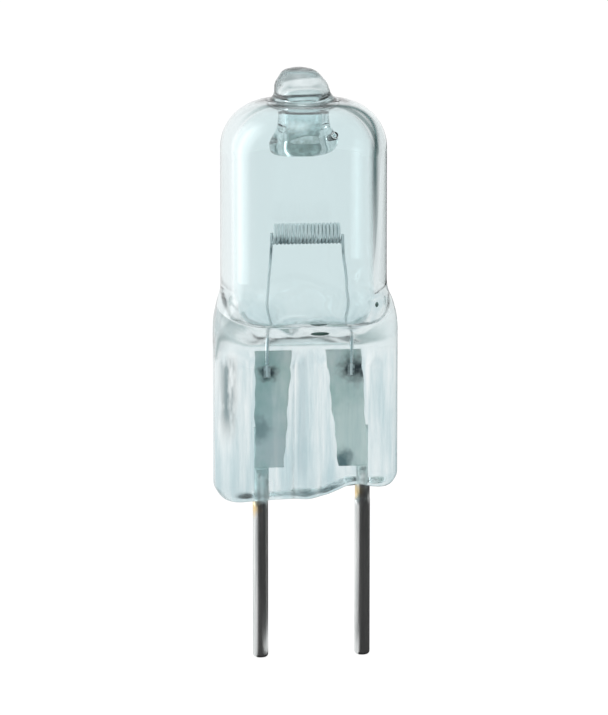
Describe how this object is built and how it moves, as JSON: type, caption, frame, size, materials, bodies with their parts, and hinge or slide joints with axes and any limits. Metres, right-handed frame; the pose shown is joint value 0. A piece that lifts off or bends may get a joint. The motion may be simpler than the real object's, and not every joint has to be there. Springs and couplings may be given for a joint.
{
  "type": "halogen capsule bulb",
  "caption": "Clear pinch-sealed halogen capsule bulb: domed quartz tube with a coiled filament, sealing foils in a flat pinch and straight contact pins.",
  "frame": {"origin": "midway between the pins, at their shoulders just under the pinch", "axes": "+Z along the lamp, from the pins to the exhaust tip; +X along the line of the pins; -Y is the front of the pinch"},
  "size_m": [0.0114, 0.0102, 0.0368],
  "materials": {
    "quartz": "clear, fire-polished",
    "tungsten": "drawn wire",
    "molybdenum_foil": "rolled foil, satin",
    "molybdenum_pin": "drawn rod, dark oxide"
  },
  "bodies": {
    "root": {"quartz_envelope": "quartz", "filament": "tungsten", "left_foil": "molybdenum_foil", "right_foil": "molybdenum_foil", "left_pin": "molybdenum_pin", "right_pin": "molybdenum_pin"}
  },
  "joints": []
}
